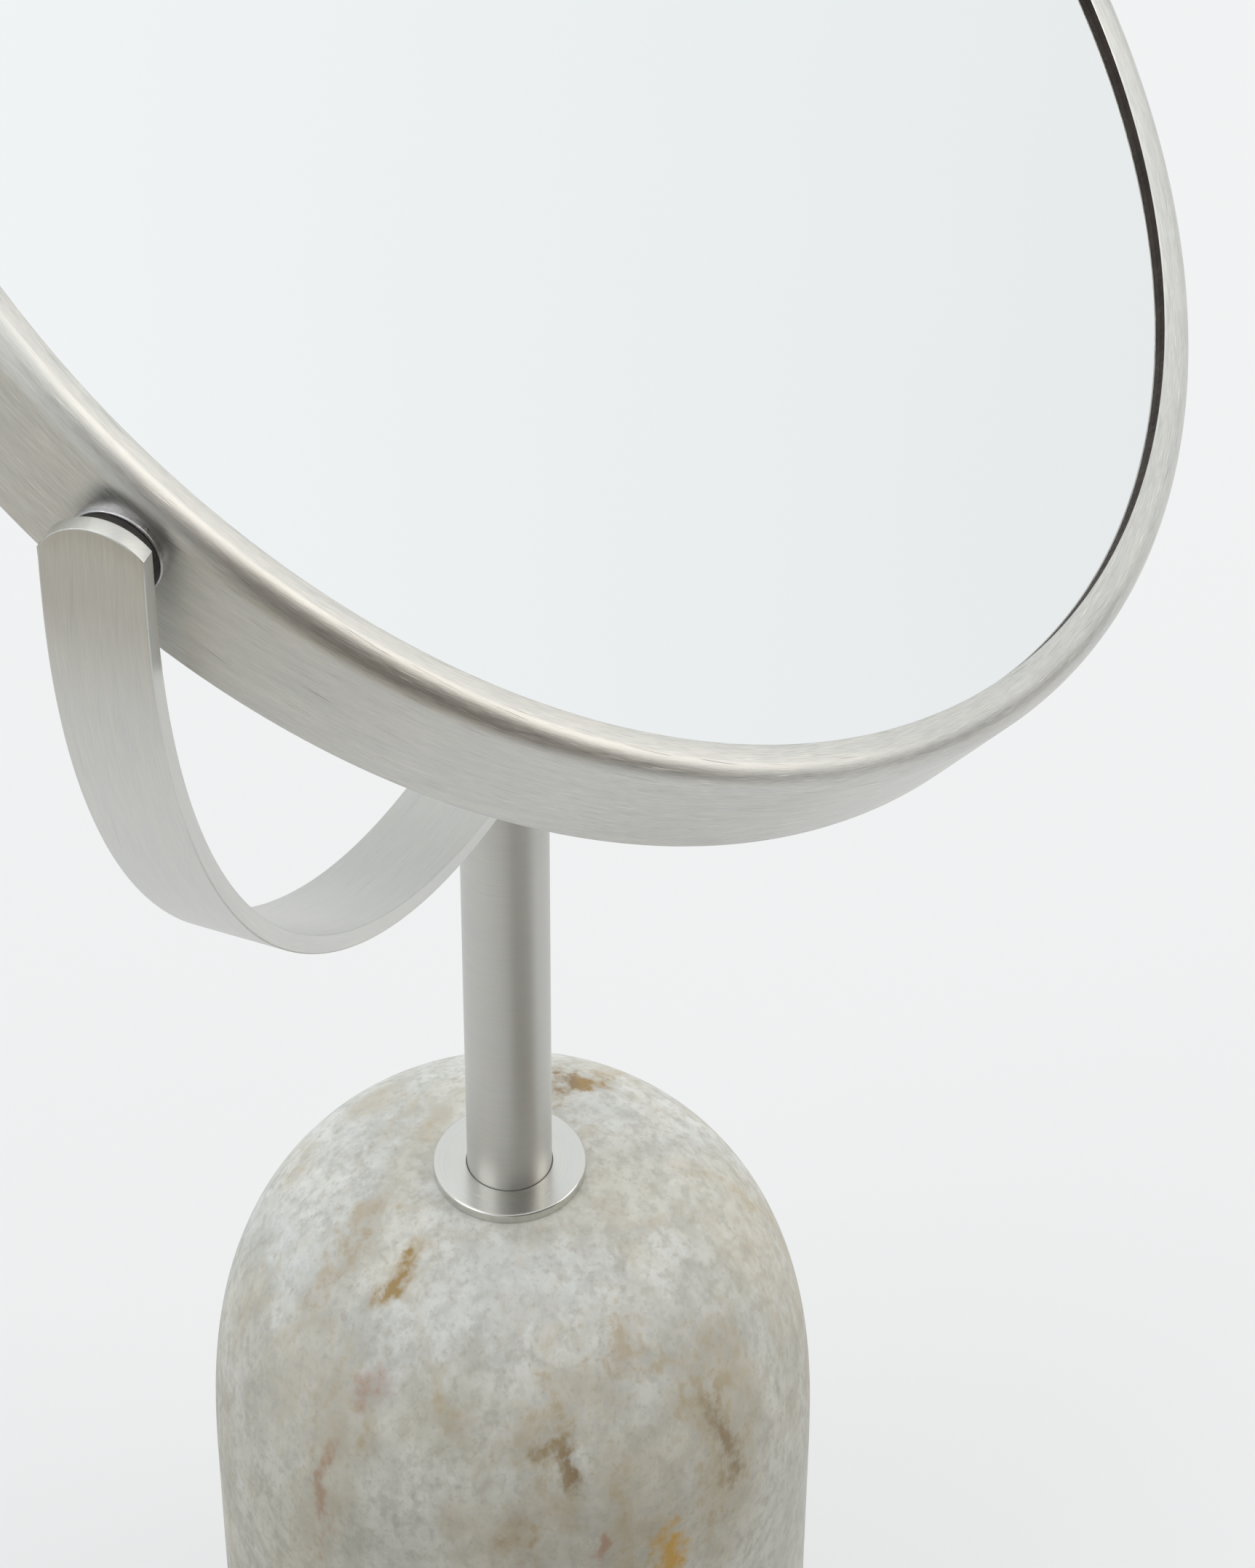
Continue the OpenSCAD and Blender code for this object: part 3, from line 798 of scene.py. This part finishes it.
def make_yoke():
    """Flat bar bent to a U, with softened edges and arms that end in a shallow arc."""
    bm = bmesh.new()
    uv = bm.loops.layers.uv.new("UVMap")
    sheets = yoke_sheets(bm)

    def face(corners, flat):
        """A face with UVs along and across the bar, which go on round the edge where it isn't flat."""
        made = bm.faces.new([c[0] for c in corners])
        for loop, (_, s, w, n) in zip(made.loops, corners):
            loop[uv].uv = (s, w if flat else w + (n if w > 0 else -n))

    rows = len(sheets[0][0])
    for right, left, n in (sheets[0], sheets[-1]):
        for i in range(rows - 1):
            corners = distinct([right[i], right[i + 1], left[i + 1], left[i]])
            face([c + (n,) for c in corners], True)
    for (right_a, left_a, n_a), (right_b, left_b, n_b) in zip(sheets, sheets[1:]):
        flat = min(n_a, n_b) > BAR_T / 2 - 1e-9
        for line_a, line_b in ((right_a, right_b), (left_a, left_b)):
            for i in range(rows - 1):
                near = [c + (n_a,) for c in line_a[i:i + 2]]
                far = [c + (n_b,) for c in line_b[i:i + 2]]
                face([near[0], near[1], far[1], far[0]], flat)
    yoke = finish_mesh(bm, "yoke_bar", IN_PLACE, 33)
    return dress(yoke, STEEL_YOKE, "post", "steel_brushed", "yoke")


def ragged_edge(p):
    """Makes a washer's outer edge slightly uneven, as on punched fibre. Its bore stays round."""
    bore_zone = 3 * MM
    if math.hypot(p.x, p.y) < bore_zone:
        return p
    a = math.atan2(p.y, p.x)
    grow = 1 + 0.004 * math.sin(5 * a + 1) + 0.003 * math.sin(13 * a) - 0.008
    return Vector((p.x * grow, p.y * grow, p.z))


def eased(*radii):
    """Edge radii given in mm."""
    return [r * MM for r in radii]


def make_pivots():
    """Ferrules in the rim and dark washers against the arms, on both sides."""
    ferrules, washers = [], []
    face_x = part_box("pivot_ferrules")[1].x
    ferrule_r = box_size("pivot_ferrules").y / 2
    washer_r = box_size("friction_washers").y / 2
    disc = (face_x, HEAD_R - 0.12 * MM)
    barrel = (HEAD_R - 3 * MM, HEAD_R - 0.2 * MM)
    gap = (face_x + 0.01 * MM, ARM_IN)
    for side, tag in ((-1, "left"), (1, "right")):
        place = sideways(HEAD, side)
        edges = eased(0.1, 0.22, 0.05, 0.05)
        ferrules.append(flat_ring("ferrule_" + tag, STUD_BORE_R, ferrule_r, disc, edges, 96, place))
        edges = eased(0.1, 0.1, 0.1, 0.1)
        ferrules.append(flat_ring("barrel_" + tag, STUD_BORE_R, BARREL_R, barrel, edges, 64, place))
        place = sideways(Matrix.Translation(PIVOT), side)
        edges = eased(0.18, 0.18, 0.18, 0.18)
        washer = flat_ring("washer_" + tag, WASHER_BORE_R, washer_r, gap, edges, 96, place, bend=ragged_edge)
        washers.append(washer)
    dress(join("ferrules", ferrules), STEEL_SMALL, "head", "steel_plain", "pivot_ferrules")
    dress(join("fibre_washers", washers), FIBRE, "post", "dark_fibre", "friction_washers")


# ---------------------------------------------------------------- post and base

def make_post():
    """Round tube with its top cut to the curve of the yoke."""
    top = YOKE_LOW
    bore = POST_R - POST_WALL
    chamfer = 0.3 * MM
    heights = [POST_LOW + chamfer, 0.1, 0.14, 0.16, 0.18, top - 0.3 * MM]
    profile = [(POST_R - chamfer, POST_LOW)] + [(POST_R, h) for h in heights]
    profile += [(POST_R, top), (bore, top), (bore, 0.18), (bore, 0.12), (bore, POST_LOW)]

    def saddle(p):
        """Follows the yoke's curve at the top end."""
        if p.z < top - 0.01 * MM:
            return p
        return Vector((p.x, p.y, top + ARM_OUT - math.sqrt(ARM_OUT ** 2 - p.x ** 2)))

    post = revolve("post_round", profile, 128, start=SEAM, bend=saddle)
    return dress(post, STEEL_POST, "post", "steel_brushed", "post_tube")


def make_collar():
    """Flat polished disc with an eased edge."""
    inner = POST_R + 0.05 * MM
    edges = eased(0.15, 0.3, 0.12, 0.05)
    collar = flat_ring("collar", inner, FLANGE_R, (FLANGE_TOP, SEAT_Z), edges, 128, start=SEAM)
    return dress(collar, STEEL_COLLAR, "base", "steel_brushed", "collar_flange")


def make_stone():
    """Domed stone body, hollowed below for the plate and the clamp nut."""
    dome_steps = 90
    dome = []
    for i in range(dome_steps + 1):
        a = math.pi / 2 * i / dome_steps
        r = BASE_R * math.cos(a) ** (2 / DOME_FULLNESS)
        h = DOME_Z + DOME_H * math.sin(a) ** (2 / DOME_FULLNESS)
        if h < SEAT_Z and r > SEAT_R:
            dome.append((r, h))
    profile = [(PLATE_RECESS_R, PAD_TOP), (FOOT_RING_R, PAD_TOP)]
    profile += arc(BASE_R - BASE_CHAMFER, PAD_TOP + BASE_CHAMFER, BASE_CHAMFER, -90, 0, 5)
    profile += [(BASE_R, h) for h in (0.01, 0.02, 0.03, 0.04, 0.05)]
    profile += dome
    profile += [(SEAT_R - 0.1 * MM, SEAT_Z)]
    profile += [(STONE_BORE_R, h) for h in (SEAT_Z, 0.09, 0.05, NUT_POCKET_TOP)]
    profile += [(NUT_POCKET_R, NUT_POCKET_TOP), (NUT_POCKET_R, PLATE_RECESS_TOP)]
    profile += [(PLATE_RECESS_R, PLATE_RECESS_TOP)]
    stone = revolve("stone", profile, 256, start=SEAM, sharp=40)
    return dress(stone, STONE, "base", "stone", "stone_base")


def make_pad():
    """Soft pad under the base, with an eased edge."""
    corners = [(0, 0), (PAD_R, 0, 0.3 * MM), (PAD_R, PAD_TOP, 0.1 * MM), (0, PAD_TOP)]
    profile = supported(rounded(corners, closed=False), closed=False)
    pad = revolve("soft_pad", profile, 128, closed=False)
    return dress(pad, RUBBER, "base", "rubber", "foot_pad")


make_rim()
make_glass()
make_seals()
make_rear_bezel()
make_yoke()
make_pivots()
make_post()
make_collar()
make_stone()
make_pad()

HIDDEN_FINISHES = [
    (STEEL_INNER, ("guide_sleeve", "clamp_washer", "base_plate", "plate_screws", "retaining_rings")),
    (STEEL_INNER, ("pivot_studs", "spring_washers", "lock_nuts")),
    (BRASS, ("sleeve_nut", "threaded_inserts")),
    (ACETAL, ("upper_bush", "glide_bush")),
    (BLACK_PLASTIC, ("sleeve_plug", "post_end_plug")),
    (RUBBER, ("friction_ring",)),
    (FOAM, ("spacer_ring",)),
]
for finish, node_names in HIDDEN_FINISHES:
    for node_name in node_names:
        repaint(node_name, finish)


# ---------------------------------------------------------------- stage, light and camera

FLOOR_HALF = 4.0
FILM_HALF = 2.0
FILM_HEIGHT = 1.2 * MM
FILM_FADE = (-0.24, -0.47)
CLEAR = (1, 1, 1, 1)
FILM_TINT = (0.66, 0.615, 0.53, 1)
CARDS = [
    # name, radius, ends (degrees round Z), lowest and highest edge, tint, seen in polished faces
    ("dark_card", 0.75, (-184, -74), (0.004, 1.2), (0.2, 0.175, 0.15, 1), True),
    ("low_card", 0.8, (-88, -44), (0.004, 0.32), (0.22, 0.2, 0.18, 1), True),
    ("post_card", 0.11, (-160, -80), (0.004, 0.14), (0.52, 0.5, 0.46, 1), True),
    ("room_card", 1.0, (-235, -75), (0.1, 1.45), (0.2, 0.19, 0.17, 1), False),
]
LIGHTS = [
    # name, spot, aim, size, power, colour
    ("key", (0.42, -1.15, 1.1), (0, 0, 0.25), (1.0, 1.0), 4.5, (1.0, 0.92, 0.83)),
    ("top", (0.3, 0.1, 1.9), (0, 0, 0.12), (1.2, 1.2), 5, (1.0, 0.985, 0.96)),
    ("fill", (-1.3, 1.0, 1.6), (0, 0, 0.25), (1.4, 1.0), 7, (0.97, 0.985, 1.0)),
]
CAMERA_SPOT = (-0.44629, -0.18871, 0.64258)
# the heading from +Y towards +X, the angle below the horizon and the roll, in degrees
CAMERA_ANGLES = (69.005, 42.81, 0.399)
CAMERA_LENS = 115.31
CAMERA_SENSOR = 36.0


def flat_sheet(name, half, height=0.0):
    """A level square sheet about the Z axis."""
    bm = bmesh.new()
    bmesh.ops.create_grid(bm, x_segments=2, y_segments=2, size=half)
    mesh = mesh_of(bm, name)
    mesh.transform(Matrix.Translation((0, 0, height)))
    return new_object(name, mesh)


def make_floor():
    """Plain pale floor, partly self-lit."""
    floor = flat_sheet("floor", FLOOR_HALF)
    n = Nodes("floor_paint")
    tone = n.fit(n.noise(n.place(), 2.0), 0.3, 0.7)
    n.set(Base_Color=(0.3, 0.303, 0.305, 1), Roughness=0.9, Emission_Strength=0.53)
    n.set(Emission_Color=n.mix(tone, (0.985, 0.995, 1.0, 1), (0.975, 0.99, 1.0, 1)))
    floor.data.materials.append(n.material)


def stage_screen(thing, material, reflected=True):
    """Stages a screen out of the camera's sight, seen in polished faces only or else by matt faces only."""
    thing.data.materials.append(material)
    thing.visible_camera = False
    thing.visible_shadow = False
    thing.visible_glossy = reflected
    thing.visible_diffuse = not reflected


def film(n, colour):
    """Ends a material as a clear film of that colour."""
    clear = n.add("ShaderNodeBsdfTransparent", {"Color": colour})
    n.put(clear.outputs[0], n.tree.nodes["Material Output"].inputs["Surface"])
    return n.material


def make_floor_film():
    """Warm film over the floor on the camera's side, as if that side of the room were darker."""
    n = Nodes("floor_film")
    near = n.fit(n.axes(n.place())["X"], *FILM_FADE, smooth=True)
    sheet = flat_sheet("floor_film", FILM_HALF, FILM_HEIGHT)
    stage_screen(sheet, film(n, n.mix(near, CLEAR, FILM_TINT)))


def curved_sheet(name, radius, ends, heights):
    """An upright sheet curved about the Z axis, with UVs from 0 to 1."""
    bm = bmesh.new()
    uv = bm.loops.layers.uv.new("UVMap")
    rows = []
    steps = 24
    for k in range(steps + 1):
        a = math.radians(ends[0] + (ends[1] - ends[0]) * k / steps)
        rows.append([bm.verts.new((radius * math.cos(a), radius * math.sin(a), h)) for h in heights])
    for k in range(steps):
        made = bm.faces.new((rows[k][0], rows[k + 1][0], rows[k + 1][1], rows[k][1]))
        for loop, (across, up) in zip(made.loops, ((k, 0), (k + 1, 0), (k + 1, 1), (k, 1))):
            loop[uv].uv = (across / steps, up)
    return new_object(name, mesh_of(bm, name))


def make_card(name, radius, ends, heights, tint, reflected):
    """Upright curved tinting screen, soft at its sides and top."""
    n = Nodes(name)
    spot = n.axes(n.uv())
    sides = n.product(n.fit(spot["X"], 0.0, 0.35, smooth=True), n.fit(spot["X"], 1.0, 0.8, smooth=True))
    solid = n.product(sides, n.fit(spot["Y"], 1.0, 0.7, smooth=True))
    sheet = curved_sheet(name, radius, ends, heights)
    stage_screen(sheet, film(n, n.mix(solid, CLEAR, tint)), reflected)


def area_light(name, spot, aim, size, power, colour):
    """A soft rectangular light at a spot, aimed at a point."""
    data = bpy.data.lights.new(name, "AREA")
    data.shape = "RECTANGLE"
    data.size, data.size_y = size
    data.energy = power
    data.color = colour
    light = bpy.data.objects.new(name, data)
    SCENE.collection.objects.link(light)
    light.location = spot
    light.rotation_euler = (Vector(aim) - Vector(spot)).to_track_quat("-Z", "Y").to_euler()


def make_world():
    """Soft cool studio surround, a little brighter overhead."""
    world = bpy.data.worlds.new("studio")
    SCENE.world = world
    world.use_nodes = True
    tree = world.node_tree
    coords = tree.nodes.new("ShaderNodeTexCoord")
    axes = tree.nodes.new("ShaderNodeSeparateXYZ")
    rise = tree.nodes.new("ShaderNodeMapRange")
    tree.links.new(coords.outputs["Generated"], axes.inputs[0])
    tree.links.new(axes.outputs["Z"], rise.inputs["Value"])
    for key, value in (("From Min", 0.2), ("From Max", 0.6), ("To Min", 0.825), ("To Max", 0.985)):
        rise.inputs[key].default_value = value
    back = tree.nodes["Background"]
    back.inputs["Color"].default_value = (0.965, 0.99, 1.0, 1)
    tree.links.new(rise.outputs[0], back.inputs["Strength"])


def make_camera():
    """The photograph's viewing angle and framing."""
    data = bpy.data.cameras.new("camera")
    data.sensor_fit = "VERTICAL"
    data.sensor_height = CAMERA_SENSOR
    data.lens = CAMERA_LENS
    camera = bpy.data.objects.new("camera", data)
    SCENE.collection.objects.link(camera)
    heading, dip, roll = (math.radians(angle) for angle in CAMERA_ANGLES)
    level = Vector((math.sin(heading), math.cos(heading), 0))
    forward = level * math.cos(dip) - Vector((0, 0, math.sin(dip)))
    right = Vector((math.cos(heading), -math.sin(heading), 0))
    up = right.cross(forward)
    turned_right = right * math.cos(roll) + up * math.sin(roll)
    turned_up = up * math.cos(roll) - right * math.sin(roll)
    turn = Matrix((turned_right, turned_up, -forward)).transposed()
    camera.matrix_world = Matrix.Translation(CAMERA_SPOT) @ turn.to_4x4()
    SCENE.camera = camera


make_floor()
make_floor_film()
make_world()
make_camera()
for card in CARDS:
    make_card(*card)
for light in LIGHTS:
    area_light(*light)
SCENE.view_settings.view_transform = "Standard"
SCENE.view_settings.look = "None"
